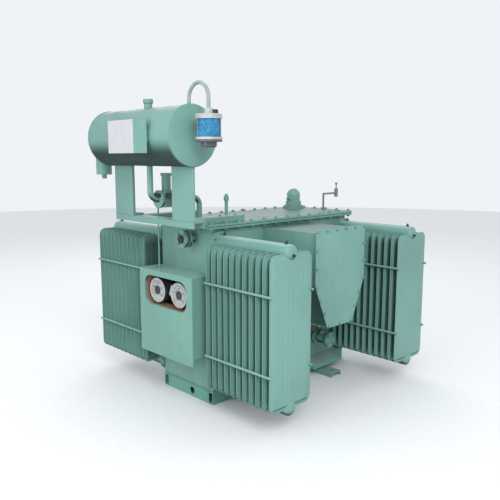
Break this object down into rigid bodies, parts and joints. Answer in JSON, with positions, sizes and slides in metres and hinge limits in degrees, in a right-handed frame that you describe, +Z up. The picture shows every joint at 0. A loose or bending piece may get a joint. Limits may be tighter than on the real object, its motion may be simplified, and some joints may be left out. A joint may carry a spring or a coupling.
{
  "type": "earthing transformer",
  "caption": "Oil-filled earthing transformer: a tank with pressed-panel radiators, a conservator on posts, a gauge box and a tapered cable box, on a channel base.",
  "frame": {"origin": "floor level, at the centre of the four foundation bolt holes, under the middle of the tank", "axes": "+Z up; +X along the tank, away from the conservator end; -Y towards the cable box"},
  "size_m": [1.847, 1.678, 1.8645],
  "materials": {
    "tank_paint": "semi-gloss green enamel over plate",
    "radiator_paint": "flow-coated semi-gloss green enamel",
    "base_paint": "brushed green enamel",
    "conservator_paint": "semi-gloss green enamel",
    "box_paint": "semi-gloss green enamel",
    "label_white": "white enamel",
    "cast_alloy": "cast, dull",
    "dark_cup": "dark moulded",
    "clear_glass": "clear",
    "blue_gel": "blue gel beads",
    "gauge_metal": "satin bezel with a pale dial",
    "gland_brass": "plain turned",
    "tap_steel": "plain"
  },
  "bodies": {
    "root": {"base_runner_front": "base_paint", "base_runner_rear": "base_paint", "base_end_left": "base_paint", "base_end_right": "base_paint", "foot_front_left": "base_paint", "foot_front_right": "base_paint", "foot_rear_left": "base_paint", "foot_rear_right": "base_paint", "jack_front_left": "base_paint", "jack_front_right": "base_paint", "jack_rear_left": "base_paint", "jack_rear_right": "base_paint", "tank_bottom": "tank_paint", "tank_front_wall": "tank_paint", "tank_rear_wall": "tank_paint", "tank_left_end": "tank_paint", "tank_right_end": "tank_paint", "tank_cover": "tank_paint", "radiator_front_left": "radiator_paint", "radiator_front_right": "radiator_paint", "radiator_rear_left": "radiator_paint", "radiator_rear_right": "radiator_paint", "conservator_shell": "conservator_paint", "conservator_end_near": "conservator_paint", "conservator_end_far": "conservator_paint", "conservator_filler": "conservator_paint", "conservator_drain": "conservator_paint", "label_plate": "label_white", "post_near": "conservator_paint", "post_far": "conservator_paint", "cross_beam": "conservator_paint", "arm_near": "conservator_paint", "arm_far": "conservator_paint", "oil_pipe_drop": "conservator_paint", "gas_relay": "conservator_paint", "oil_pipe_inlet": "conservator_paint", "breather_pipe": "conservator_paint", "breather_cap": "cast_alloy", "breather_glass": "clear_glass", "breather_gel": "blue_gel", "breather_cup": "dark_cup", "gauge_box_case": "box_paint", "gauge_box_door": "box_paint", "oil_gauge": "gauge_metal", "winding_gauge": "gauge_metal", "cable_box": "tank_paint", "cable_box_cover": "tank_paint", "gland_plate": "tank_paint", "cable_gland": "gland_brass", "relief_device": "tank_paint", "sampling_tap": "tap_steel", "thermometer_pocket": "tap_steel", "filter_valve": "tank_paint", "drain_valve": "tank_paint"}
  },
  "joints": []
}
